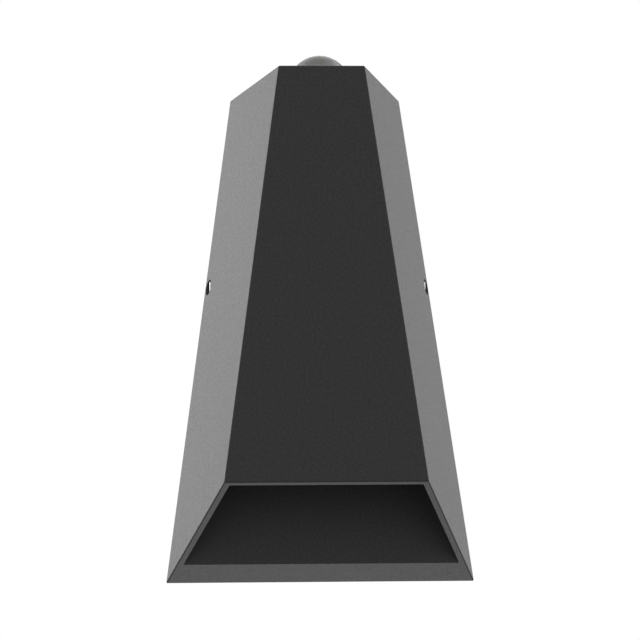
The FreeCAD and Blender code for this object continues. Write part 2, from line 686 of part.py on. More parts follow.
def make_lower_light():
    board = new_body("lower_led_board")
    plate = plan_drawing(board, SHELF_TOP)
    plate.rectangle(-BOARD_HALF, BOARD_HALF, -BOARD_FAR, -BOARD_NEAR)
    plate.circles(plan_spots(SINK_SCREWS), S.small_screw + S.screw_play)
    pad(board, plate, S.board)

    chips = new_body("lower_leds")
    grid = plan_drawing(chips, SHELF_TOP)
    middle = (LIGHT_NEAR + LIGHT_FAR) / 2.0
    columns = copies_in(2.0 * LIGHT_HALF - S.chip, S.chip_pitch)
    for column in range(columns):
        across = (column - (columns - 1) / 2.0) * S.chip_pitch
        for row in (-0.5, 0.5):
            out = middle + row * S.chip_rows
            grid.rectangle(across - S.chip / 2.0, across + S.chip / 2.0,
                           -out - S.chip / 2.0, S.chip / 2.0 - out)
    pad(chips, grid, S.chip_height, back=True)

    sink = new_body("lower_heat_sink")
    base = plan_drawing(sink, BOARD_TOP)
    base.rectangle(-BOARD_HALF, BOARD_HALF, -BOARD_FAR, -SINK_NEAR)
    base.circles(plan_spots(SINK_SCREWS), S.small_screw + S.screw_play)
    pad(sink, base, S.sink_base)
    fins = plan_drawing(sink, SINK_TOP)
    fin_near = SINK_NEAR + S.board_lap
    fin_far = BOARD_FAR - S.board_lap
    count = copies_in(2.0 * BOARD_HALF - S.fin_sheet - S.fin_pitch, S.fin_pitch)
    for index in range(count):
        across = (index - (count - 1) / 2.0) * S.fin_pitch
        fins.rectangle(across - S.fin_sheet / 2.0, across + S.fin_sheet / 2.0, -fin_far, -fin_near)
    pad(sink, fins, S.fin_height)
    small_screws("heat_sink_screws", plan_drawing, plan_spots(SINK_SCREWS), SINK_TOP,
                 S.sink_base + S.board + S.shelf, -1, SINK_TOP + S.small_head_height)


def make_glass():
    glass = new_body("lower_glass")
    pane = plan_drawing(glass, FRAME_TOP)
    pane.rectangle(-GLASS_HALF, GLASS_HALF, -GLASS_FAR, -GLASS_NEAR)
    pad(glass, pane, S.glass)

    seal = new_body("glass_gasket")
    ring = plan_drawing(seal, GLASS_TOP)
    ring.rectangle(-GLASS_HALF, GLASS_HALF, -GLASS_FAR, -GLASS_NEAR)
    ring.rectangle(-LIGHT_HALF, LIGHT_HALF, -LIGHT_FAR, -LIGHT_NEAR)
    pad(seal, ring, S.seal)

    frame = new_body("glass_frame")
    near = S.back_rim + S.fit_gap
    far = CHAMBER_FRONT - S.fit_gap
    plate = plan_drawing(frame, FRAME_LOW)
    plate.taper(inner_half(FRAME_TOP, far) - S.fit_gap, -far, inner_half(FRAME_TOP, near) - S.fit_gap, -near)
    plate.rectangle(-LIGHT_HALF, LIGHT_HALF, -LIGHT_FAR, -LIGHT_NEAR)
    plate.circles(plan_spots(POSTS), S.small_screw + S.screw_play)
    pad(frame, plate, S.frame_sheet)
    small_screws("glass_frame_screws", plan_drawing, plan_spots(POSTS), FRAME_LOW,
                 SHELF_TOP - FRAME_LOW, 1, FRAME_LOW - S.small_head_height)


# the upper light

def make_upper_light():
    lens = new_body("dome_lens")
    top = S.body_height
    profile = front_drawing(lens, LENS_OUT)
    profile.outline([(ZERO, LENS_LOW), (FLANGE_RADIUS, LENS_LOW), (FLANGE_RADIUS, LENS_SEAT),
                     (LENS_RADIUS, LENS_SEAT), (LENS_RADIUS, top, "dome"), (ZERO, top + S.lens_rise)])
    spin(lens, profile, "V_Axis")

    seal = new_body("lens_gasket")
    ring = plan_drawing(seal, LENS_SEAT)
    ring.circles([(ZERO, -LENS_OUT)], FLANGE_RADIUS)
    ring.circles([(ZERO, -LENS_OUT)], LENS_RADIUS)
    pad(seal, ring, S.seal)

    cup = new_body("uplight_cup")
    profile = front_drawing(cup, LENS_OUT)
    lead_hole = S.lead_radius + S.fit_gap
    profile.outline([(lead_hole, CUP_LOW), (FLANGE_RADIUS, CUP_LOW), (FLANGE_RADIUS, LENS_LOW),
                     (CUP_BORE, LENS_LOW), (CUP_BORE, CUP_FLOOR), (lead_hole, CUP_FLOOR)])
    spin(cup, profile, "V_Axis")
    wall_middle = FLANGE_RADIUS - S.cup_wall / 2.0
    lugs = plan_drawing(cup, LENS_LOW)
    for left, right in ((-CUP_ACROSS, -wall_middle), (wall_middle, CUP_ACROSS)):
        lugs.rectangle(left, right, -LENS_OUT - S.cup_lug, S.cup_lug - LENS_OUT)
    pad(cup, lugs, S.cup_lug, back=True)
    ends = plan_drawing(cup, LENS_LOW)
    ends.circles(plan_spots(CUP_SCREWS), S.cup_lug)
    pad(cup, ends, S.cup_lug, back=True)
    holes = plan_drawing(cup, LENS_LOW)
    holes.circles(plan_spots(CUP_SCREWS), S.small_screw + S.screw_play)
    pocket(cup, holes, S.cup_lug)
    small_screws("uplight_cup_screws", plan_drawing, plan_spots(CUP_SCREWS), LENS_LOW - S.cup_lug,
                 S.cup_lug + CHAMBER_TOP - LENS_LOW, 1, LENS_LOW - S.cup_lug - S.small_head_height)

    board = new_body("uplight_board")
    disc = plan_drawing(board, CUP_FLOOR)
    disc.circles([(ZERO, -LENS_OUT)], CUP_BORE - S.fit_gap)
    pad(board, disc, S.board)
    chip = new_body("uplight_led")
    spot = plan_drawing(chip, CUP_FLOOR + S.board)
    spot.circles([(ZERO, -LENS_OUT)], S.cob_radius)
    pad(chip, spot, S.chip_height)


# the two leads inside

def bent_path(points, bend):
    """Straight runs joined by arcs of one radius."""
    edges = []
    start = points[0]
    for before, corner, after in zip(points, points[1:], points[2:]):
        arriving = (corner - before).normalize()
        leaving = (after - corner).normalize()
        reach = bend * math.tan(arriving.getAngle(leaving) / 2)
        first = corner - arriving * reach
        last = corner + leaving * reach
        inward = (leaving - arriving).normalize()
        middle_distance = (reach ** 2 + bend ** 2) ** 0.5 - bend
        edges.append(Part.LineSegment(start, first).toShape())
        edges.append(Part.Arc(first, corner + inward * middle_distance, last).toShape())
        start = last
    edges.append(Part.LineSegment(start, points[-1]).toShape())
    return Part.Wire(edges)


def make_lead(label, points):
    """A round lead through points given as across, out and up."""
    spots = [FreeCAD.Vector(across.value, -out.value, (up - S.screw_height).value)
             for across, out, up in points]
    path = bent_path(spots, S.lead_bend.value)
    ring = Part.Wire([Part.makeCircle(S.lead_radius.value, spots[0], (spots[1] - spots[0]).normalize())])
    lead = doc.addObject("Part::Feature", label)
    lead.Label = label
    lead.Shape = path.makePipeShell([ring], True, False)


def make_leads():
    side = S.block_half + (DRIVER_HALF - S.block_half) / 2.0
    leaves = COVER_IN + S.driver_depth / 2.0
    lands = BOARD_NEAR + S.lead_radius
    middle = (DRIVER_LOW + BOARD_TOP) / 2.0
    spread = S.lead_bend
    make_lead("lower_led_lead", [(side, leaves, DRIVER_LOW), (side, leaves, middle + spread),
                                 (side, lands, middle - spread), (side, lands, BOARD_TOP)])
    front = COVER_IN + S.driver_depth
    height = DRIVER_HIGH - S.lug_reach
    make_lead("uplight_lead", [(ZERO, front, height), (ZERO, LENS_OUT, height),
                               (ZERO, LENS_OUT, CUP_FLOOR)])


def write_parts():
    doc.recompute()
    for item in doc.Objects:
        if "Invalid" in item.State or "Error" in item.State:
            raise RuntimeError(f"{item.Label} failed: {item.State}")
    pieces = [item for item in doc.Objects if item.TypeId in ("PartDesign::Body", "Part::Feature")]
    for piece in pieces:
        if piece.Shape.isNull() or not piece.Shape.isValid() or not piece.Shape.Solids:
            raise RuntimeError(f"{piece.Label} has no valid solid")
    os.makedirs("parts", exist_ok=True)
    for piece in pieces:
        piece.Shape.exportStep(f"parts/{piece.Label}.step")
        box = piece.Shape.BoundBox
        print(f"{piece.Label}: {len(piece.Shape.Solids)} solids, {piece.Shape.Volume:.0f} mm3, "
              f"x {box.XMin:.1f} {box.XMax:.1f}, y {box.YMin:.1f} {box.YMax:.1f}, "
              f"z {box.ZMin:.1f} {box.ZMax:.1f}")


make_wall_bracket()
make_housing()
make_wall_gasket()
make_side_screw("left_side_screw", -1)
make_side_screw("right_side_screw", 1)
make_rear_cover()
make_cable_grommet()
make_earth_screw()
make_terminal_block()
make_driver()
make_lower_light()
make_glass()
make_upper_light()
make_leads()
write_parts()
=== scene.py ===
"""Wall light that shines up through a dome lens and down from a recess: models and paints its pieces.

Lengths are in metres. The wall is the plane Y = 0, the light stands out from it towards -Y, and +Z is up.
"up" is a height above the housing's lower back edge, and "out" is a distance from the wall.
"""
import math

import bmesh
import bpy
from bpy.props import FloatProperty, FloatVectorProperty, IntProperty, PointerProperty
from mathutils import Matrix, Quaternion, Vector


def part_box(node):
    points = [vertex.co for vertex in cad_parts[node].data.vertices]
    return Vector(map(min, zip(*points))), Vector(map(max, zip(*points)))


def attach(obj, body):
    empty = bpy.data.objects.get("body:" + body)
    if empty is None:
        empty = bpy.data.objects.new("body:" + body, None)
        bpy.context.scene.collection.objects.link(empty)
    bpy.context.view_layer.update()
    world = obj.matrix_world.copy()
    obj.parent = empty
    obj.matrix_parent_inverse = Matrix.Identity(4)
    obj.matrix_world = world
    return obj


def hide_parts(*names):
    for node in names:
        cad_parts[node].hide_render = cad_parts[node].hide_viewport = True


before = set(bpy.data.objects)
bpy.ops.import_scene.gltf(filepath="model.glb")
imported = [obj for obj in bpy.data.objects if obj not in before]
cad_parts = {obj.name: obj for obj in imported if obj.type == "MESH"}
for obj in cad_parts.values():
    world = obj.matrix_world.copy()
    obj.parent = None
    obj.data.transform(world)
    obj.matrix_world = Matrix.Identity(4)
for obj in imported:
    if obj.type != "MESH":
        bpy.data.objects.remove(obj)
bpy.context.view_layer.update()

bl_info = {
    "name": "Up-down wall light",
    "version": (1, 0, 0),
    "blender": (4, 5, 0),
    "location": "3D View > Sidebar > Wall light",
    "description": "Models and paints the pieces of an outdoor wall light on its construction frame",
    "category": "Object",
}

# edges that turn by more than this are sharp
SHARP = math.radians(42)
# points closer together than this are one point
SAME = 1e-6
# points further apart than this lie on different faces of a sheet
APART = 1e-4
# how far a cutting shape reaches past the faces that it cuts
PAST = 0.002
# how far the lens's flange laps under the edge of the lens hole
LENS_LAP = 0.0017
# how far the roughness of a grained finish varies, as a share of it
GLOSS_SPREAD = 0.12
UP = Vector((0, 0, 1))
DOWN = Vector((0, 0, -1))
TO_WALL = Vector((0, 1, 0))


def length(name, description, default):
    return FloatProperty(name=name, description=description, default=default, min=0.0, precision=5,
                         subtype="DISTANCE", unit="LENGTH")


def colour(name, description, default):
    return FloatVectorProperty(name=name, description=description, default=default, size=3, min=0.0,
                               max=1.0, subtype="COLOR")


def angle(name, description, degrees):
    return FloatProperty(name=name, description=description, default=math.radians(degrees), subtype="ANGLE",
                         unit="ROTATION")


def factor(name, description, default):
    return FloatProperty(name=name, description=description, default=default, min=0.0, max=1.0,
                         subtype="FACTOR")


# sizes and colours

class WallLightHousing(bpy.types.PropertyGroup):
    """Sizes of the cast housing"""

    height: length("Height", "Height of the housing's back", 0.220)
    lower_width: length("Lower width", "Width of the back at its lower edge", 0.137)
    upper_width: length("Upper width", "Width of the back at its upper edge", 0.077)
    depth: length("Depth", "Distance of the front face from the wall", -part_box("housing")[0].y)
    side_inset: length("Side inset", "How far each side leans in from the back to the front", 0.0198)
    front_rise: length("Front rise", "Height of the front's lower edge above the back's", 0.0373)
    wall: length("Wall", "Thickness of the side, back and lower walls", 0.0027)
    front_wall: length("Front wall", "Thickness of the front wall", 0.0018)
    top_wall: length("Top wall", "Thickness of the top", 0.003)
    back_rim: length("Back rim", "Distance of the light recess from the wall", 0.012)
    recess_top: length("Recess top", "Height of the shelf's underside", 0.078)
    shelf: length("Shelf", "Thickness of the shelf above the recess", 0.0035)
    screw_up: length("Screw height", "Height of the side screws above the lower back edge", 0.1325)
    screw_out: length("Screw distance", "Distance of the side screws from the wall", 0.0045)
    boss_depth: length("Boss depth", "Thickness of the wall and boss at the side screws", 0.006)
    boss_reach: length("Boss reach", "Half height of the side screw bosses", 0.008)
    mouth_radius: length("Mouth radius", "Radius of the mouths of the side screw holes", 0.0035)
    mouth_depth: length("Mouth depth", "Depth of those mouths", 0.0011)
    screw_hole: length("Screw hole", "Radius of the side screw holes", 0.00315)
    small_hole: length("Small hole", "Radius of the small screws' holes", 0.00165)
    lens_hole: length("Lens hole", "Radius of the lens hole in the top",
                      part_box("dome_lens")[1].x - LENS_LAP)
    window_half: length("Window half width", "Half width of the window behind the chamber", 0.02599)
    window_low: length("Window sill", "Height of that window's lower edge", 0.094)
    window_high: length("Window head", "Height of that window's upper edge", 0.198)
    post_radius: length("Post radius", "Radius of the posts that carry the glass frame", 0.003)
    cup_post: length("Cup post radius", "Radius of the posts that carry the lens cup", 0.0032)
    edge_round: length("Edge rounding", "Rounding of the outer edges", 0.0006)
    back_round: length("Back edge rounding", "Rounding of the edges that meet the wall", 0.0002)
    inner_round: length("Inner rounding", "Rounding of the corners inside the recess", 0.0006)
    rim_round: length("Rim rounding", "Rounding of the rims, windows and holes", 0.00025)

    def lower_edge(self, out):
        """Height of the sloping lower face at a distance from the wall."""
        return self.front_rise / self.depth * out

    def half(self, up, out):
        """Half the outer width at a height and a distance from the wall."""
        return self.lower_width / 2 - self.taper * up - self.lean * out

    def inner_half(self, up, out):
        """Half the width between the side walls."""
        return self.half(up, out) - self.wall * math.sqrt(1 + self.taper ** 2 + self.lean ** 2)

    @property
    def taper(self):
        return (self.lower_width - self.upper_width) / 2 / self.height

    @property
    def lean(self):
        return self.side_inset / self.depth

    @property
    def lower_skin(self):
        return self.wall * math.hypot(1, self.front_rise / self.depth)

    @property
    def rear_depth(self):
        return self.back_rim - self.wall

    @property
    def screw_face(self):
        return self.half(self.screw_up, self.screw_out)


class WallLightPieces(bpy.types.PropertyGroup):
    """Sizes of the pieces that the housing carries"""

    lens_rise: length("Dome height", "Height of the dome above the housing's top", 0.0093)
    lens_flange: length("Lens flange", "Thickness and overhang of the lens's flange", 0.002)
    lens_edge: length("Lens edge", "Rounding of the lens's edges", 0.0003)
    thread_pitch: length("Thread pitch", "Pitch of the side screws' thread", 0.001)
    thread_depth: length("Thread depth", "Depth of that thread", 0.0005)
    screw_end: length("Screw end", "Rounding of the side screws' outer ends", 0.0011)
    socket_corner: length("Socket", "Corner radius of the side screws' hexagon sockets", 0.0017)
    socket_depth: length("Socket depth", "Depth of those sockets", 0.0026)
    head_radius: length("Small head", "Radius of the small screws' heads", 0.0027)
    head_height: length("Small head height", "Height of the small screws' heads", 0.0019)
    shank_radius: length("Small shank", "Radius of the small screws' shanks", 0.0015)
    shank_end: length("Small shank end", "Chamfer at the end of the small screws' shanks", 0.0004)
    drive_corner: length("Small socket", "Corner radius of the small screws' sockets", 0.00135)
    bracket_sheet: length("Bracket sheet", "Thickness of the wall bracket", 0.002)
    bend_radius: length("Bend radius", "Inner radius of the bracket's bends", 0.0003)
    bracket_corner: length("Bracket corner", "Radius of the bracket's corners", 0.003)
    cover_corner: length("Cover corner", "Radius of the rear cover's corners", 0.001)
    sheet_edge: length("Sheet edge", "Rounding of the bracket's and the rear cover's edges", 0.0002)
    ear_height: length("Ear height", "Height of the bracket's ears", 0.014)
    wall_hole: length("Wall hole", "Radius of the wall screw holes", 0.0025)
    wall_hole_spacing: length("Wall hole spacing", "Distance between the wall screw holes", 0.060)
    cable_hole: length("Cable hole", "Radius of the cable hole in the bracket", 0.010)
    grommet_neck: length("Grommet neck", "Radius of the grommet where it passes the cover", 0.006)
    grommet_bore: length("Grommet bore", "Radius of the grommet's bore", 0.0035)
    grommet_round: length("Grommet rounding", "Rounding of the grommet's lips", 0.0009)
    earth_hole: length("Earth hole", "Radius of the earth screw's hole", 0.00215)
    earth_slot: length("Earth slot", "Width of the slot in the earth screw's head", 0.0009)
    light_half: length("Light half width", "Half width of the lower light's window", 0.025)
    light_near: length("Light near edge", "Distance of that window's near edge from the wall", 0.022)
    light_far: length("Light far edge", "Distance of that window's far edge from the wall", 0.050)
    window_flare: length("Window flare", "How far the glass frame's window flares below its plate", 0.0025)
    frame_edge: length("Frame edge", "Rounding of the glass frame's edges", 0.0003)
    pane_edge: length("Pane edge", "Rounding of the lower pane's edges", 0.0005)
    chip: length("Light chip", "Side of each lower light chip", 0.003)
    chip_edge: length("Chip edge", "Rounding of the chips' edges", 0.00015)
    chip_border: length("Chip border", "Width of the border around each chip's window", 0.00035)
    chip_slope: length("Chip slope", "Width of the slope into that window", 0.0001)
    chip_sink: length("Chip sink", "Depth of that window", 0.00012)
    columns: IntProperty(name="Chip columns", description="Number of light chips in each row", default=6,
                         min=2)


class WallLightFinishes(bpy.types.PropertyGroup):
    """Colours and gloss of the finishes"""

    paint: colour("Paint", "Anthracite powder coat", (0.0215, 0.0215, 0.0228))
    paint_gloss: factor("Paint roughness", "Roughness of the powder coat", 0.46)
    paint_sheen: factor("Paint reflection", "Specular level of the powder coat", 0.30)
    black: colour("Black", "Powder coat of the glass frame", (0.014, 0.014, 0.015))
    zinc: colour("Zinc", "Zinc plate of the bracket and the rear cover", (0.55, 0.56, 0.57))
    steel: colour("Steel", "Stainless steel of the screws", (0.66, 0.65, 0.63))
    brass: colour("Brass", "Brass of the earth and clamp screws", (0.66, 0.46, 0.17))
    glass: colour("Glass", "Clear glass of the dome lens and the lower pane", (0.96, 0.98, 0.99))
    aluminium: colour("Aluminium", "Extruded heat sink", (0.66, 0.67, 0.68))
    white: colour("White", "Reflector cup and board coating", (0.88, 0.88, 0.87))
    ivory: colour("Ivory", "Terminal block and driver case", (0.72, 0.70, 0.62))
    phosphor: colour("Phosphor", "Coating of the light chips", (0.84, 0.66, 0.22))
    rubber: colour("Rubber", "Grommet and foam strip", (0.022, 0.022, 0.023))
    silicone: colour("Silicone", "Flat seals", (0.55, 0.55, 0.53))
    jacket: colour("Jacket", "Jacket of the inner leads", (0.42, 0.025, 0.02))


class WallLightStage(bpy.types.PropertyGroup):
    """Camera, floor and light"""

    focal: FloatProperty(name="Focal length", description="Focal length of the camera in millimetres",
                         default=169.2, min=1.0, subtype="DISTANCE_CAMERA", unit="CAMERA")
    place: FloatVectorProperty(name="Camera place", description="Where the camera stands",
                               default=(-0.0680, -1.3356, -0.2455), size=3, precision=4,
                               subtype="TRANSLATION", unit="LENGTH")
    pitch: angle("Pitch", "How far the camera looks up", 9.811)
    yaw: angle("Yaw", "How far the camera looks to the right", 2.967)
    roll: angle("Roll", "How far the camera is turned about its view", -0.694)
    floor: colour("Floor", "Pale floor", (0.80, 0.80, 0.80))
    floor_drop: length("Floor drop", "How far the floor lies below the side screws", 1.5)
    floor_half: length("Floor half width", "Half the width of the floor", 6.0)
    ambient: factor("Ambient light", "Strength of the surroundings as a light", 0.6)


# shapes

def settled(shape):
    """Merges points that coincide and turns all faces outwards."""
    bmesh.ops.remove_doubles(shape, verts=shape.verts, dist=SAME)
    bmesh.ops.recalc_face_normals(shape, faces=shape.faces)
    return shape


def softened(shape, radius, segments=2, chosen=None):
    """Rounds the sharp edges, or those of them that are chosen."""
    edges = [edge for edge in shape.edges
             if edge.is_manifold and edge.calc_face_angle() > SHARP and (chosen is None or chosen(edge))]
    bmesh.ops.bevel(shape, geom=edges, offset=radius, offset_type="OFFSET", segments=segments, profile=0.5,
                    affect="EDGES", material=-1, clamp_overlap=True)
    return shape


def block(low, high):
    """A block between two corners."""
    low = Vector(low)
    high = Vector(high)
    shape = bmesh.new()
    bmesh.ops.create_cube(shape, size=1)
    bmesh.ops.scale(shape, vec=high - low, verts=shape.verts)
    bmesh.ops.translate(shape, vec=(low + high) / 2, verts=shape.verts)
    return shape


def rod(start, end, radius, sides=48):
    """A bar with a regular cross-section between two points."""
    start = Vector(start)
    end = Vector(end)
    run = end - start
    place = Matrix.Translation((start + end) / 2) @ run.to_track_quat("Z", "Y").to_matrix().to_4x4()
    shape = bmesh.new()
    bmesh.ops.create_cone(shape, cap_ends=True, segments=sides, radius1=radius, radius2=radius,
                          depth=run.length, matrix=place)
    return shape


def tapered(cast, near, far, low, high, half):
    """A block between two distances from the wall, whose heights and half widths follow the distance."""
    shape = bmesh.new()
    bmesh.ops.create_cube(shape, size=2)
    for corner in shape.verts:
        out = near if corner.co.y > 0 else far
        up = high(out) if corner.co.z > 0 else low(out)
        corner.co = corner.co.x * half(up, out), -out, up - cast.screw_up
    return shape


def arc(centre, radius, start, stop, steps=6):
    """Points of (radius, height) along a round stretch between two angles in degrees."""
    points = []
    for step in range(steps + 1):
        turn = math.radians(start + (stop - start) * step / steps)
        points.append((centre[0] + radius * math.cos(turn), centre[1] + radius * math.sin(turn)))
    return points


def turned(outline, steps, closed=False):
    """Turns an outline of (radius, height) points once round the Z axis."""
    shape = bmesh.new()
    verts = [shape.verts.new((radius, 0, height)) for radius, height in outline]
    edges = [shape.edges.new(pair) for pair in zip(verts, verts[1:])]
    if closed:
        edges.append(shape.edges.new((verts[-1], verts[0])))
    bmesh.ops.spin(shape, geom=verts + edges, cent=(0, 0, 0), axis=UP, dvec=(0, 0, 0), angle=math.tau,
                   steps=steps, use_merge=True)
    return settled(shape)


def moved(shape, place):
    """Moves a shape to a place."""
    bmesh.ops.transform(shape, matrix=place, verts=shape.verts)
    return shape


def facing(spot, direction):
    """The place at a spot whose Z axis points in a direction."""
    return Matrix.Translation(spot) @ direction.to_track_quat("Z", "Y").to_matrix().to_4x4()


def repeated(shape, places):
    """One copy of a shape at each place."""
    first = shape.verts[:]
    source = first + shape.edges[:] + shape.faces[:]
    for place in places:
        copied = bmesh.ops.duplicate(shape, geom=source)["geom"]
        verts = [item for item in copied if isinstance(item, bmesh.types.BMVert)]
        bmesh.ops.transform(shape, matrix=place, verts=verts)
    bmesh.ops.delete(shape, geom=first, context="VERTS")
    return shape


def new_object(name, data):
    """An object in the scene that holds a mesh, a lamp or a camera."""
    item = bpy.data.objects.new(name, data)
    bpy.context.scene.collection.objects.link(item)
    return item


def combined(shape, tool, operation):
    """Joins a tool to a shape, cuts it away or keeps what they share, and uses both up."""
    items = []
    for each in (shape, tool):
        mesh = bpy.data.meshes.new("working mesh")
        each.to_mesh(mesh)
        each.free()
        items.append(new_object("working mesh", mesh))
    step = items[0].modifiers.new("step", "BOOLEAN")
    step.operation = operation
    step.solver = "EXACT"
    step.object = items[1]
    result = bmesh.new()
    result.from_object(items[0], bpy.context.evaluated_depsgraph_get())
    for item in items:
        mesh = item.data
        bpy.data.objects.remove(item)
        bpy.data.meshes.remove(mesh)
    if not result.faces:
        raise RuntimeError("a cut left nothing of a piece")
    bmesh.ops.remove_doubles(result, verts=result.verts, dist=SAME)
    return result


def cut(shape, *tools):
    """Cuts tools away from a shape, one by one."""
    for tool in tools:
        shape = combined(shape, tool, "DIFFERENCE")
    return shape


def joined(shape, *tools):
    """Joins tools to a shape, one by one."""
    for tool in tools:
        shape = combined(shape, tool, "UNION")
    return shape


def add_piece(name, shape, body, finishes, nodes, crease=36):
    """Makes a shape a piece with named finishes that rides on a body and stands for CAD nodes."""
    mesh = bpy.data.meshes.new(name)
    shape.to_mesh(mesh)
    shape.free()
    mesh.shade_smooth()
    mesh.set_sharp_from_angle(angle=math.radians(crease))
    for finish in finishes:
        mesh.materials.append(finish_of(finish))
    piece = new_object(name, mesh)
    even = piece.modifiers.new("even shading", "WEIGHTED_NORMAL")
    even.keep_sharp = True
    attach(piece, body)
    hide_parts(*nodes)


# finishes

def new_finish(name):
    """A new finish, its node tree and its shader."""
    finish = bpy.data.materials.new(name)
    finish.use_nodes = True
    return finish, finish.node_tree, finish.node_tree.nodes["Principled BSDF"]


def noise_on(tree, grain, stretch=(1, 1, 1), detail=2.0):
    """Noise of a grain size on Object coordinates."""
    nodes = tree.nodes
    spot = nodes.new("ShaderNodeTexCoord")
    place = nodes.new("ShaderNodeMapping")
    place.inputs["Scale"].default_value = [item / grain for item in stretch]
    noise = nodes.new("ShaderNodeTexNoise")
    noise.inputs["Scale"].default_value = 1.0
    noise.inputs["Detail"].default_value = detail
    tree.links.new(spot.outputs["Object"], place.inputs["Vector"])
    tree.links.new(place.outputs["Vector"], noise.inputs["Vector"])
    return noise.outputs["Fac"]


def ranged(tree, value, low, high):
    """A value from 0.3 to 0.7, which is most of a noise, brought to a range."""
    node = tree.nodes.new("ShaderNodeMapRange")
    node.inputs["From Min"].default_value = 0.3
    node.inputs["From Max"].default_value = 0.7
    node.inputs["To Min"].default_value = low
    node.inputs["To Max"].default_value = high
    tree.links.new(value, node.inputs["Value"])
    return node.outputs["Result"]


def toned(tree, value, first, second):
    """A mix of two colours that follows a value."""
    node = tree.nodes.new("ShaderNodeMix")
    node.data_type = "RGBA"
    tree.links.new(value, node.inputs["Factor"])
    node.inputs["A"].default_value = (*first, 1)
    node.inputs["B"].default_value = (*second, 1)
    return node.outputs["Result"]


def raised(tree, value, height):
    """Relief of a height that follows a value."""
    node = tree.nodes.new("ShaderNodeBump")
    node.inputs["Distance"].default_value = height
    tree.links.new(value, node.inputs["Height"])
    return node.outputs["Normal"]


def shaded(tint, amount):
    """A colour made lighter or darker."""
    return [min(1.0, channel * amount) for channel in tint]


def grained(name, tint, roughness, grain=0.0005, relief=0.00002, spread=0.12, stretch=(1, 1, 1), wide=0.012,
            metallic=0.0, **sockets):
    """A finish whose tone follows a wide noise, and whose gloss and relief follow a fine one."""
    finish, tree, shader = new_finish(name)
    fine = noise_on(tree, grain, stretch, detail=3.0)
    broad = ranged(tree, noise_on(tree, wide), 0.0, 1.0)
    tone = toned(tree, broad, shaded(tint, 1 - spread), shaded(tint, 1 + spread))
    tree.links.new(tone, shader.inputs["Base Color"])
    gloss = ranged(tree, fine, roughness * (1 - GLOSS_SPREAD), min(1.0, roughness * (1 + GLOSS_SPREAD)))
    tree.links.new(gloss, shader.inputs["Roughness"])
    tree.links.new(raised(tree, fine, relief), shader.inputs["Normal"])
    shader.inputs["Metallic"].default_value = metallic
    for socket, value in sockets.items():
        shader.inputs[socket.replace("_", " ")].default_value = value
    return finish


def polished_glass(name, tint, grain=0.006, haze=0.03):
    """Polished glass with a faint unevenness of its gloss."""
    finish, tree, shader = new_finish(name)
    gloss = ranged(tree, noise_on(tree, grain), 0.0, haze)
    tree.links.new(gloss, shader.inputs["Roughness"])
    shader.inputs["Base Color"].default_value = (*tint, 1)
    shader.inputs["Transmission Weight"].default_value = 1.0
    shader.inputs["IOR"].default_value = 1.49
    return finish


def foam(name, tint, cells_per_metre=2200.0, pit=0.0002):
    """Open-cell foam: round cells that read as pits, with painted shade that makes each cell darker towards
    its middle and lighter towards its rim, over relief of the same cells.
    """
    finish, tree, shader = new_finish(name)
    spot = tree.nodes.new("ShaderNodeTexCoord")
    cells = tree.nodes.new("ShaderNodeTexVoronoi")
    cells.inputs["Scale"].default_value = cells_per_metre
    tree.links.new(spot.outputs["Object"], cells.inputs["Vector"])
    # painted shade in the pits: the colour runs from 0.6 of the tint at each cell's middle to 1.7 of it at
    # its rim
    tone = toned(tree, cells.outputs["Distance"], shaded(tint, 0.6), shaded(tint, 1.7))
    tree.links.new(tone, shader.inputs["Base Color"])
    tree.links.new(raised(tree, cells.outputs["Distance"], pit), shader.inputs["Normal"])
    shader.inputs["Roughness"].default_value = 0.9
    return finish


def grained_finishes(tints):
    """What each grained finish is made of, by its name."""
    powder = {"grain": 0.0008, "relief": 0.00005, "wide": 0.0012}
    sheet = {"grain": 0.0006, "relief": 0.000006, "metallic": 1.0}
    lathe = {"grain": 0.0004, "relief": 0.000004, "metallic": 1.0}
    return {
        "anthracite powder coat": dict(tint=tints.paint, roughness=tints.paint_gloss, spread=0.24, **powder,
                                       Specular_IOR_Level=tints.paint_sheen),
        "black powder coat": dict(tint=tints.black, roughness=0.5, spread=0.2, **powder,
                                  Specular_IOR_Level=0.3),
        "zinc plate": dict(tint=tints.zinc, roughness=0.34, spread=0.1, wide=0.004, **sheet),
        "extruded aluminium": dict(tint=tints.aluminium, roughness=0.36, stretch=(1, 0.05, 1), **sheet),
        "turned steel": dict(tint=tints.steel, roughness=0.26, spread=0.08, **lathe),
        "satin brass": dict(tint=tints.brass, roughness=0.3, spread=0.1, **lathe),
        "white reflector": dict(tint=tints.white, roughness=0.45, grain=0.0008, relief=0.000008,
                                spread=0.02),
        "board coating": dict(tint=tints.white, roughness=0.35, grain=0.0012, relief=0.00001, spread=0.04),
        "chip phosphor": dict(tint=tints.phosphor, roughness=0.4, grain=0.0002, relief=0.00001),
        "chip case": dict(tint=tints.white, roughness=0.4, grain=0.0003, relief=0.000004, spread=0.03),
        "ivory moulding": dict(tint=tints.ivory, roughness=0.5, grain=0.0006, relief=0.000015, spread=0.03),
        "soft black rubber": dict(tint=tints.rubber, roughness=0.62, spread=0.1),
        "flat silicone": dict(tint=tints.silicone, roughness=0.5, grain=0.0006, relief=0.00001, spread=0.03,
                              Subsurface_Weight=0.2, Subsurface_Scale=0.001),
        "lead jacket": dict(tint=tints.jacket, roughness=0.45, grain=0.0008, relief=0.000008, spread=0.06),
    }


def finish_of(name):
    """A finish by name, made when it is first asked for."""
    found = bpy.data.materials.get(name)
    if found:
        return found
    tints = bpy.context.scene.wall_light_finishes
    if name == "clear glass":
        return polished_glass(name, tints.glass)
    if name == "foam strip":
        return foam(name, tints.rubber)
    return grained(name, **grained_finishes(tints)[name])


def paint_nodes(finish, *nodes):
    """Gives CAD nodes that stay a finish in place of their plain one."""
    for node in nodes:
        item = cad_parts[node]
        if not item.material_slots:
            item.data.materials.append(finish_of(finish))
        for holder in item.material_slots:
            holder.material = finish_of(finish)


# the housing

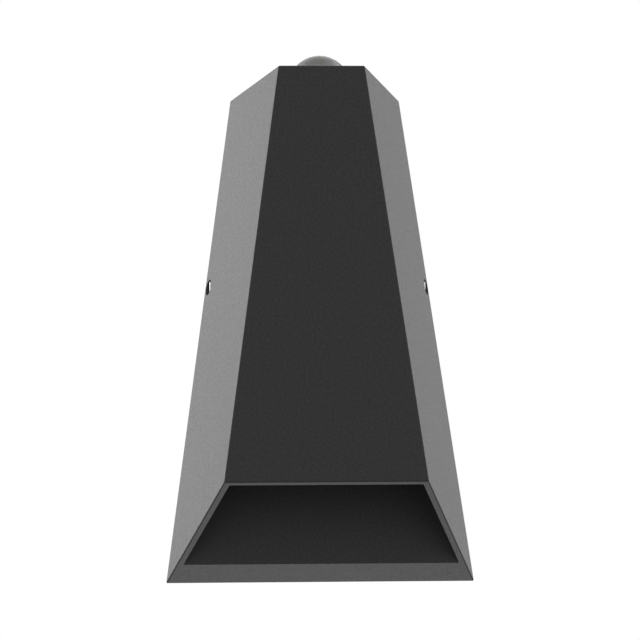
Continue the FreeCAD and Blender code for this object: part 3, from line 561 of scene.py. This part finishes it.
def spots_of_cover_screws(pieces):
    """Middles of the rear cover's six screws, as across and Z."""
    low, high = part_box("rear_cover_screws")
    head = pieces.head_radius
    return [(across, height) for across in (low.x + head, high.x - head)
            for height in (low.z + head, (low.z + high.z) / 2, high.z - head)]


def spots_of_screws(node, pieces):
    """Middles of a node's two or four upright small screws, as across and out."""
    low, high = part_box(node)
    head = pieces.head_radius
    alongs = sorted({round(low.y + head, 6), round(high.y - head, 6)})
    return [(across, -along) for across in (low.x + head, high.x - head) for along in alongs]


def hollow_spaces(cast):
    """The recess, the chamber and the space behind, as shapes to cut away."""
    boss_low = cast.screw_up - cast.boss_reach
    boss_high = cast.screw_up + cast.boss_reach
    inner_front = cast.depth - cast.front_wall
    shelf_top = cast.recess_top + cast.shelf
    chamber_top = cast.height - cast.top_wall
    spaces = (
        (cast.back_rim, inner_front, lambda out: -PAST, lambda out: cast.recess_top),
        (cast.back_rim, inner_front, lambda out: shelf_top, lambda out: chamber_top),
        (-PAST, cast.rear_depth, lambda out: cast.lower_edge(out) + cast.lower_skin, lambda out: boss_low),
        (-PAST, cast.rear_depth, lambda out: boss_high, lambda out: chamber_top),
    )
    for near, far, low, high in spaces:
        space = tapered(cast, near, far, low, high, cast.inner_half)
        yield softened(space, cast.inner_round, 3)
    boss_face = cast.screw_face - cast.boss_depth
    reach = cast.boss_reach + PAST
    yield block((-boss_face, -cast.rear_depth, -reach), (boss_face, PAST, reach))


def windows_and_holes(cast, pieces):
    """The openings in the housing's walls, as shapes to cut away."""
    def at(up):
        return up - cast.screw_up

    yield block((-cast.window_half, -cast.back_rim - PAST, at(cast.window_low)),
                (cast.window_half, -cast.rear_depth + PAST, at(cast.window_high)))
    yield block((-pieces.light_half, -pieces.light_far, at(cast.recess_top - PAST)),
                (pieces.light_half, -pieces.light_near, at(cast.recess_top + cast.shelf + PAST)))
    lens_low, lens_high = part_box("dome_lens")
    lens = (lens_low + lens_high) / 2
    yield rod((0, lens.y, at(cast.height - cast.top_wall - PAST)), (0, lens.y, at(cast.height + PAST)),
              cast.lens_hole, 96)
    for across, height in spots_of_cover_screws(pieces):
        yield rod((across, -cast.back_rim - PAST, height), (across, -cast.rear_depth + PAST, height),
                  cast.small_hole, 24)
    below_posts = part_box("glass_frame")[1].z - PAST
    above_shelf = at(cast.recess_top + cast.shelf + PAST)
    for node in ("glass_frame_screws", "heat_sink_screws"):
        for across, out in spots_of_screws(node, pieces):
            yield rod((across, -out, below_posts), (across, -out, above_shelf), cast.small_hole, 24)
    for side in (-1, 1):
        face = cast.screw_face
        centre = -cast.screw_out
        yield rod((side * (face - cast.boss_depth - PAST), centre, 0), (side * (face + PAST), centre, 0),
                  cast.screw_hole)
        yield rod((side * (face - cast.mouth_depth), centre, 0), (side * (face + 2 * PAST), centre, 0),
                  cast.mouth_radius)


def carrying_posts(cast, pieces):
    """The posts under the shelf and under the top."""
    posts = (
        ("glass_frame", cast.recess_top, cast.post_radius),
        ("uplight_cup", cast.height - cast.top_wall, cast.cup_post),
    )
    for node, carrier, radius in posts:
        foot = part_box(node)[1].z
        root = carrier - cast.screw_up + PAST / 2
        for across, out in spots_of_screws(f"{node}_screws", pieces):
            yield rod((across, -out, foot), (across, -out, root), radius, 32)


def at_wall(edge):
    """Whether an edge lies on the wall."""
    return all(abs(vert.co.y) < SAME for vert in edge.verts)


class WALL_LIGHT_OT_housing(bpy.types.Operator):
    """Models the cast housing: a tapered block that is hollowed from below and behind"""

    bl_idname = "wall_light.make_housing"
    bl_label = "Make housing"

    def execute(self, context):
        cast = context.scene.wall_light_housing
        pieces = context.scene.wall_light_pieces
        shape = tapered(cast, 0.0, cast.depth, cast.lower_edge, lambda out: cast.height, cast.half)
        softened(shape, cast.edge_round, 4, lambda edge: not at_wall(edge))
        softened(shape, cast.back_round, 2, at_wall)
        shape = cut(shape, *hollow_spaces(cast))
        shape = joined(shape, *carrying_posts(cast, pieces))
        shape = cut(shape, *windows_and_holes(cast, pieces))
        softened(settled(shape), cast.rim_round)
        add_piece("cast_housing", shape, "housing", ["anthracite powder coat"], ["housing"])
        return {"FINISHED"}


# the dome lens and the upper light

def dome(radius, low, rise, steps=16):
    """Points of a dome's outline from its top to its rim."""
    ball = (radius ** 2 + rise ** 2) / (2 * rise)
    middle = (0.0, low + rise - ball)
    rim = math.degrees(math.acos(radius / ball))
    return arc(middle, ball, 90, rim, steps)


class WALL_LIGHT_OT_upper_light(bpy.types.Operator):
    """Models the solid dome lens and the light chip under it, both turned"""

    bl_idname = "wall_light.make_upper_light"
    bl_label = "Make upper light"

    def execute(self, context):
        cast = context.scene.wall_light_housing
        pieces = context.scene.wall_light_pieces
        low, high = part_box("dome_lens")
        middle = (low + high) / 2
        flange = (high.x - low.x) / 2
        radius = flange - pieces.lens_flange
        top = cast.height - cast.screw_up
        seat = low.z + pieces.lens_flange
        outline = dome(radius, top, pieces.lens_rise)
        outline += [(radius, seat), (flange, seat), (flange, low.z), (0.0, low.z)]
        lens = moved(turned(outline, 96), Matrix.Translation((0, middle.y, 0)))
        softened(lens, pieces.lens_edge)
        add_piece("dome_lens_glass", lens, "housing", ["clear glass"], ["dome_lens"])

        low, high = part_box("uplight_led")
        radius = (high.x - low.x) / 2
        thick = high.z - low.z
        fill_top = thick * 0.8
        fill_round = thick * 0.25
        dam = radius * 0.82
        dam_foot = thick * 0.6
        dam_round = (radius - dam) / 2
        outline = [(0.0, fill_top)] + arc((dam * 0.9, fill_top - fill_round), fill_round, 90, 45, 3)
        outline += [(dam, dam_foot)] + arc((dam + dam_round, dam_foot), dam_round, 180, 0, 8)
        outline += [(radius, 0.0), (0.0, 0.0)]
        chip = moved(turned(outline, 64), Matrix.Translation((0, middle.y, low.z)))
        for face in chip.faces:
            face.material_index = int((face.calc_center_median().xy - middle.xy).length > dam)
        add_piece("uplight_chip", chip, "housing", ["chip phosphor", "chip case"],
                  ["uplight_led"])
        return {"FINISHED"}


# screws

def threaded_bar(radius, reach, pitch, depth, steps=40):
    """A threaded bar along Z from 0 to its reach, flat at both ends."""
    shape = bmesh.new()
    root = radius - depth
    # one turn's outline, as a radius and a share of the pitch
    ridge = ((root, 0.0), (root, 0.15), (radius, 0.45), (radius, 0.6), (root, 0.9), (root, 1.0))
    verts = [shape.verts.new((across, 0, height * pitch - 2 * pitch)) for across, height in ridge]
    edges = [shape.edges.new(pair) for pair in zip(verts, verts[1:])]
    turns = math.ceil(reach / pitch) + 3
    bmesh.ops.spin(shape, geom=verts + edges, cent=(0, 0, 0), axis=UP, dvec=(0, 0, pitch / steps),
                   angle=math.tau * turns, steps=steps * turns, use_merge=False)
    bmesh.ops.remove_doubles(shape, verts=shape.verts, dist=SAME)
    for height, side in ((0.0, DOWN), (reach, UP)):
        everything = shape.verts[:] + shape.edges[:] + shape.faces[:]
        bmesh.ops.bisect_plane(shape, geom=everything, dist=SAME / 10, plane_co=UP * height, plane_no=side,
                               clear_outer=True)
    bmesh.ops.holes_fill(shape, edges=[edge for edge in shape.edges if edge.is_boundary], sides=0)
    return settled(shape)


def socket_screw(pieces, reach):
    """A small screw with a round head above Z = 0 and its shank below."""
    head = pieces.head_radius
    rise = pieces.head_height
    edge = rise * 0.45
    outline = [(0.0, rise)] + arc((head - edge, rise - edge), edge, 90, 0, 5)
    outline += [(head, 0.0), (pieces.shank_radius, 0.0)]
    outline += [(pieces.shank_radius, pieces.shank_end - reach)]
    outline += [(pieces.shank_radius - pieces.shank_end, -reach), (0.0, -reach)]
    return cut(turned(outline, 40), rod((0, 0, rise / 2), (0, 0, rise + PAST), pieces.drive_corner, 6))


class WALL_LIGHT_OT_side_screws(bpy.types.Operator):
    """Models the two grub screws that hold the housing to the bracket's ears"""

    bl_idname = "wall_light.make_side_screws"
    bl_label = "Make side screws"

    def execute(self, context):
        pieces = context.scene.wall_light_pieces
        for name, side in (("left", -1), ("right", 1)):
            low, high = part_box(f"{name}_side_screw")
            middle = (low + high) / 2
            reach = high.x - low.x
            radius = (high.z - low.z) / 2
            bar = threaded_bar(radius, reach, pieces.thread_pitch, pieces.thread_depth)
            bar = combined(bar, self.rounded_end(radius, reach, pieces.screw_end), "INTERSECT")
            socket = rod((0, 0, reach - pieces.socket_depth), (0, 0, reach + PAST), pieces.socket_corner, 6)
            bar = cut(bar, socket)
            tip = Vector((high.x if side < 0 else low.x, middle.y, middle.z))
            moved(bar, facing(tip, Vector((side, 0, 0))))
            add_piece(f"{name}_grub_screw", bar, f"{name}_screw", ["turned steel"],
                      [f"{name}_side_screw"], crease=24)
        return {"FINISHED"}

    def rounded_end(self, radius, reach, end, clear=0.0001):
        """The envelope of a screw along Z, clear of its thread and rounded at its upper end."""
        wide = radius + clear
        outline = [(0.0, -PAST), (wide, -PAST)]
        outline += arc((wide - end, reach - end), end, 0, 90)
        outline += [(0.0, reach)]
        return turned(outline, 60)


# the bracket and the rear closure

class WALL_LIGHT_OT_bracket(bpy.types.Operator):
    """Models the wall bracket: a plate with two bent ears, two screw holes and a cable hole"""

    bl_idname = "wall_light.make_bracket"
    bl_label = "Make wall bracket"

    def execute(self, context):
        pieces = context.scene.wall_light_pieces
        low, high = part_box("wall_bracket")
        sheet = pieces.bracket_sheet
        bend = sheet + pieces.bend_radius
        plate_half = high.x - bend
        ear = pieces.ear_height / 2
        shape = block((-plate_half, -sheet, low.z), (plate_half, 0, high.z))
        for height in (-ear, ear):
            everything = shape.verts[:] + shape.edges[:] + shape.faces[:]
            bmesh.ops.bisect_plane(shape, geom=everything, plane_co=UP * height, plane_no=UP)
        for side in (-1, 1):
            middle = Vector((side * plate_half, -sheet / 2, 0))
            strip = [face for face in shape.faces if (face.calc_center_median() - middle).length < SAME]
            bent = bmesh.ops.spin(shape, geom=strip, cent=(side * plate_half, -bend, 0), axis=UP,
                                  dvec=(0, 0, 0), angle=-side * math.pi / 2, steps=6, use_merge=False)
            end = [item for item in bent["geom_last"] if isinstance(item, bmesh.types.BMFace)]
            grown = bmesh.ops.extrude_face_region(shape, geom=end)["geom"]
            verts = [item for item in grown if isinstance(item, bmesh.types.BMVert)]
            bmesh.ops.translate(shape, vec=(0, low.y + bend, 0), verts=verts)
            inner = [face for face in strip + end if face.is_valid]
            bmesh.ops.delete(shape, geom=inner, context="FACES_ONLY")
        settled(shape)

        def corner(edge):
            """Whether an edge runs through the sheet at a corner of the plate or of an ear."""
            ends = [vert.co for vert in edge.verts]
            run = ends[1] - ends[0]
            at_plate = all(abs(abs(spot.z) - high.z) < SAME for spot in ends) and abs(run.y) > APART
            at_ear = all(abs(spot.y - low.y) < SAME for spot in ends) and abs(run.x) > APART
            return at_plate or at_ear

        softened(shape, pieces.bracket_corner, 6, corner)
        holes = [rod((0, PAST, 0), (0, -2 * PAST, 0), pieces.cable_hole, 64)]
        for side in (-1, 1):
            across = side * pieces.wall_hole_spacing / 2
            holes.append(rod((across, PAST, 0), (across, -2 * PAST, 0), pieces.wall_hole, 40))
        shape = cut(shape, *holes)
        softened(settled(shape), pieces.sheet_edge)
        add_piece("bent_wall_bracket", shape, "bracket", ["zinc plate"], ["wall_bracket"])
        return {"FINISHED"}


class WALL_LIGHT_OT_rear_closure(bpy.types.Operator):
    """Models the rear cover with its screws, the cable grommet and the earth screw"""

    bl_idname = "wall_light.make_rear_closure"
    bl_label = "Make rear closure"

    def execute(self, context):
        pieces = context.scene.wall_light_pieces
        low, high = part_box("rear_cover")
        self.add_cover(context.scene.wall_light_housing, pieces, low, high)
        screws_low, screws_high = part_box("rear_cover_screws")
        seat = screws_high.y - pieces.head_height
        places = [facing((across, seat, height), TO_WALL)
                  for across, height in spots_of_cover_screws(pieces)]
        screws = repeated(socket_screw(pieces, seat - screws_low.y), places)
        add_piece("rear_cover_socket_screws", screws, "housing", ["turned steel"],
                  ["rear_cover_screws"])
        self.add_grommet(pieces, low.y, high.y)
        self.add_earth_screw(pieces)
        return {"FINISHED"}

    def add_cover(self, cast, pieces, low, high):
        """A plate with the grommet's hole and those of the cover's, the driver's and the earth screws."""
        holes = [((0, 0), pieces.grommet_neck)]
        holes += [(spot, cast.small_hole) for spot in spots_of_cover_screws(pieces)]
        driver_low, driver_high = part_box("driver_screws")
        head = pieces.head_radius
        holes.append(((driver_low.x + head, driver_low.z + head), cast.small_hole))
        holes.append(((driver_high.x - head, driver_high.z - head), cast.small_hole))
        earth_low, earth_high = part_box("earth_screw")
        earth = (earth_low + earth_high) / 2
        holes.append(((earth.x, earth.z), pieces.earth_hole))
        shape = block(low, high)
        softened(shape, pieces.cover_corner, 4,
                 lambda edge: abs(edge.verts[0].co.y - edge.verts[1].co.y) > APART)
        rods = [rod((across, low.y - PAST, height), (across, high.y + PAST, height), radius)
                for (across, height), radius in holes]
        shape = cut(shape, *rods)
        softened(settled(shape), pieces.sheet_edge)
        add_piece("rear_cover_plate", shape, "housing", ["zinc plate"], ["rear_cover"])

    def add_grommet(self, pieces, inner_face, outer_face):
        """A rubber grommet with two lips, and a groove that grips the cover."""
        low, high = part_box("cable_grommet")
        middle = (low + high) / 2
        radius = high.x
        bore = pieces.grommet_bore
        neck = pieces.grommet_neck
        soft = pieces.grommet_round
        outline = [(bore, low.y + soft), (bore + soft, low.y)]
        outline += arc((radius - soft, low.y + soft), soft, -90, 0)
        outline += [(radius, inner_face), (neck, inner_face), (neck, outer_face), (radius, outer_face)]
        outline += arc((radius - soft, high.y - soft), soft, 0, 90)
        outline += arc((bore + soft, high.y - soft), soft, 90, 180)
        grommet = moved(turned(outline, 64, closed=True), facing((middle.x, 0, middle.z), TO_WALL))
        add_piece("rubber_grommet", grommet, "housing", ["soft black rubber"],
                  ["cable_grommet"])

    def add_earth_screw(self, pieces):
        """A brass screw with a slotted head."""
        low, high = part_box("earth_screw")
        middle = (low + high) / 2
        head = (high.x - low.x) / 2
        rise = pieces.head_height
        reach = high.y - low.y - rise
        edge = rise * 0.4
        shank = head * 0.52
        outline = [(0.0, rise)] + arc((head - edge, rise - edge), edge, 90, 0)
        outline += [(head, 0.0), (shank, 0.0), (shank, -reach), (0.0, -reach)]
        slot_half = pieces.earth_slot / 2
        slot = block((-2 * head, -slot_half, rise / 2), (2 * head, slot_half, 2 * rise))
        screw = moved(cut(turned(outline, 48), slot), facing((middle.x, high.y - rise, middle.z), TO_WALL))
        add_piece("earth_slot_screw", screw, "housing", ["satin brass"], ["earth_screw"])


# the lower light

class WALL_LIGHT_OT_lower_light(bpy.types.Operator):
    """Models the glass, its frame with four screws, and the light chips behind it"""

    bl_idname = "wall_light.make_lower_light"
    bl_label = "Make lower light"

    def execute(self, context):
        pieces = context.scene.wall_light_pieces
        pane = softened(block(*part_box("lower_glass")), pieces.pane_edge)
        add_piece("lower_glass_pane", pane, "housing", ["clear glass"], ["lower_glass"])
        self.add_frame(context.scene.wall_light_housing, pieces)
        low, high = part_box("glass_frame_screws")
        seat = low.z + pieces.head_height
        places = [facing((across, -out, seat), DOWN)
                  for across, out in spots_of_screws("glass_frame_screws", pieces)]
        screws = repeated(socket_screw(pieces, high.z - seat), places)
        add_piece("glass_frame_socket_screws", screws, "housing", ["turned steel"],
                  ["glass_frame_screws"])
        self.add_chips(pieces)
        return {"FINISHED"}

    def add_frame(self, cast, pieces):
        """A plate that fills the recess, with a window whose edge slopes towards the light."""
        low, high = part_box("glass_frame")
        near = -high.y
        far = -low.y
        bottom = low.z + cast.screw_up
        top = high.z + cast.screw_up

        def half(up, out):
            return high.x - cast.lean * (out - near)

        shape = tapered(cast, near, far, lambda out: bottom, lambda out: top, half)
        window = block((-pieces.light_half, -pieces.light_far, low.z - PAST),
                       (pieces.light_half, -pieces.light_near, high.z + PAST))
        middle = -(pieces.light_near + pieces.light_far) / 2
        for corner in window.verts:
            if corner.co.z < low.z:
                corner.co.x += math.copysign(pieces.window_flare, corner.co.x)
                corner.co.y += math.copysign(pieces.window_flare, corner.co.y - middle)
        shape = cut(shape, window)
        softened(settled(shape), pieces.frame_edge)
        add_piece("glass_frame_plate", shape, "housing", ["black powder coat"],
                  ["glass_frame"])

    def add_chips(self, pieces):
        """Square chip cases, each with a phosphor window sunk in its lower face."""
        low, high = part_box("lower_leds")
        side = pieces.chip / 2
        case = block((-side, -side, low.z - high.z), (side, side, 0))
        softened(case, pieces.chip_edge)
        lower = [min(case.faces, key=lambda face: face.calc_center_median().z)]
        bmesh.ops.inset_region(case, faces=lower, thickness=pieces.chip_border, depth=0.0)
        sunk = bmesh.ops.inset_region(case, faces=lower, thickness=pieces.chip_slope,
                                      depth=-pieces.chip_sink)
        for face in lower:
            face.material_index = 1
        for face in sunk["faces"]:
            face.material_index = 0
        step = (high.x - low.x - pieces.chip) / (pieces.columns - 1)
        places = [Matrix.Translation((low.x + side + column * step, along, high.z))
                  for column in range(pieces.columns) for along in (low.y + side, high.y - side)]
        add_piece("lower_light_chips", repeated(case, places), "housing",
                  ["chip case", "chip phosphor"], ["lower_leds"])


class WALL_LIGHT_OT_inner_pieces(bpy.types.Operator):
    """Paints the construction nodes that keep their own shape"""

    bl_idname = "wall_light.paint_inner_pieces"
    bl_label = "Paint inner pieces"

    def execute(self, context):
        paint_nodes("foam strip", "wall_gasket")
        paint_nodes("flat silicone", "rear_cover_gasket", "glass_gasket", "lens_gasket")
        paint_nodes("ivory moulding", "terminal_block", "led_driver")
        paint_nodes("satin brass", "terminal_screws")
        paint_nodes("turned steel", "driver_screws", "heat_sink_screws", "uplight_cup_screws")
        paint_nodes("board coating", "lower_led_board", "uplight_board")
        paint_nodes("extruded aluminium", "lower_heat_sink")
        paint_nodes("white reflector", "uplight_cup")
        paint_nodes("lead jacket", "lower_led_lead", "uplight_lead")
        return {"FINISHED"}


# the stage

class WALL_LIGHT_OT_stage(bpy.types.Operator):
    """Sets the floor, the soft light and the camera"""

    bl_idname = "wall_light.make_stage"
    bl_label = "Make stage"

    def execute(self, context):
        stage = context.scene.wall_light_stage
        self.add_floor(stage)
        self.add_world(stage)
        self.add_softbox("left softbox", place=(-1.1, 1.3, 0.55), size=1.2, power=9.0)
        self.add_softbox("right softbox", place=(1.2, 1.4, 0.5), size=1.2, power=3.0)
        self.add_softbox("lower softbox", place=(0.05, 0.42, -1.2), size=0.7, power=4.0)
        self.add_camera(stage)
        context.scene.view_settings.view_transform = "Standard"
        return {"FINISHED"}

    def add_floor(self, stage):
        """A wide pale floor below the light."""
        shape = bmesh.new()
        bmesh.ops.create_grid(shape, x_segments=1, y_segments=1, size=stage.floor_half)
        bmesh.ops.translate(shape, vec=DOWN * stage.floor_drop, verts=shape.verts)
        mesh = bpy.data.meshes.new("pale_floor")
        shape.to_mesh(mesh)
        shape.free()
        mesh.materials.append(grained("pale floor", stage.floor, roughness=0.8, grain=0.004, relief=0.0001,
                                      spread=0.01, wide=0.4))
        floor = new_object("pale_floor", mesh)

    def add_world(self, stage):
        """White where the camera, a reflection or glass sees it, and grey as a light."""
        world = bpy.data.worlds.new("soft studio")
        world.use_nodes = True
        tree = world.node_tree
        light = tree.nodes["Background"]
        light.inputs["Color"].default_value = (1, 1, 1, 1)
        light.inputs["Strength"].default_value = stage.ambient
        white = tree.nodes.new("ShaderNodeBackground")
        white.inputs["Color"].default_value = (1, 1, 1, 1)
        path = tree.nodes.new("ShaderNodeLightPath")
        seen = path.outputs["Is Camera Ray"]
        for kind in ("Is Glossy Ray", "Is Transmission Ray"):
            either = tree.nodes.new("ShaderNodeMath")
            either.operation = "MAXIMUM"
            tree.links.new(seen, either.inputs[0])
            tree.links.new(path.outputs[kind], either.inputs[1])
            seen = either.outputs["Value"]
        mixed = tree.nodes.new("ShaderNodeMixShader")
        tree.links.new(seen, mixed.inputs["Fac"])
        tree.links.new(light.outputs["Background"], mixed.inputs[1])
        tree.links.new(white.outputs["Background"], mixed.inputs[2])
        tree.links.new(mixed.outputs["Shader"], tree.nodes["World Output"].inputs["Surface"])
        bpy.context.scene.world = world

    def add_softbox(self, name, place, size, power):
        """A square lamp that points at the light and that the camera doesn't see."""
        lamp = bpy.data.lights.new(name, "AREA")
        lamp.size = size
        lamp.energy = power
        item = new_object(name, lamp)
        item.location = place
        item.rotation_euler = (-Vector(place)).to_track_quat("-Z", "Y").to_euler()
        item.visible_camera = False

    def add_camera(self, stage):
        """The camera, turned by its yaw, pitch and roll."""
        lens = bpy.data.cameras.new("camera")
        lens.lens = stage.focal
        lens.sensor_width = 36.0
        lens.sensor_fit = "HORIZONTAL"
        camera = new_object("camera", lens)
        forward = Vector((math.sin(stage.yaw) * math.cos(stage.pitch),
                          math.cos(stage.yaw) * math.cos(stage.pitch), math.sin(stage.pitch)))
        level = forward.to_track_quat("-Z", "Y")
        camera.location = stage.place
        camera.rotation_euler = (level @ Quaternion(UP, stage.roll)).to_euler()
        bpy.context.scene.camera = camera


class WALL_LIGHT_PT_sidebar(bpy.types.Panel):
    """Lists the wall light's operators"""

    bl_idname = "WALL_LIGHT_PT_sidebar"
    bl_label = "Wall light"
    bl_space_type = "VIEW_3D"
    bl_region_type = "UI"
    bl_category = "Wall light"

    def draw(self, context):
        for operator in OPERATORS:
            self.layout.operator(operator.bl_idname)


OPERATORS = (
    WALL_LIGHT_OT_housing,
    WALL_LIGHT_OT_upper_light,
    WALL_LIGHT_OT_side_screws,
    WALL_LIGHT_OT_bracket,
    WALL_LIGHT_OT_rear_closure,
    WALL_LIGHT_OT_lower_light,
    WALL_LIGHT_OT_inner_pieces,
    WALL_LIGHT_OT_stage,
)
GROUPS = {
    "wall_light_housing": WallLightHousing,
    "wall_light_pieces": WallLightPieces,
    "wall_light_finishes": WallLightFinishes,
    "wall_light_stage": WallLightStage,
}


def register():
    for group in GROUPS.values():
        bpy.utils.register_class(group)
    for operator in OPERATORS:
        bpy.utils.register_class(operator)
    bpy.utils.register_class(WALL_LIGHT_PT_sidebar)
    for name, group in GROUPS.items():
        setattr(bpy.types.Scene, name, PointerProperty(type=group))


def unregister():
    for name in GROUPS:
        delattr(bpy.types.Scene, name)
    bpy.utils.unregister_class(WALL_LIGHT_PT_sidebar)
    for operator in reversed(OPERATORS):
        bpy.utils.unregister_class(operator)
    for group in reversed(GROUPS.values()):
        bpy.utils.unregister_class(group)


def main():
    register()
    bpy.ops.wall_light.make_housing()
    bpy.ops.wall_light.make_upper_light()
    bpy.ops.wall_light.make_side_screws()
    bpy.ops.wall_light.make_bracket()
    bpy.ops.wall_light.make_rear_closure()
    bpy.ops.wall_light.make_lower_light()
    bpy.ops.wall_light.paint_inner_pieces()
    bpy.ops.wall_light.make_stage()


if __name__ == "__main__":
    main()
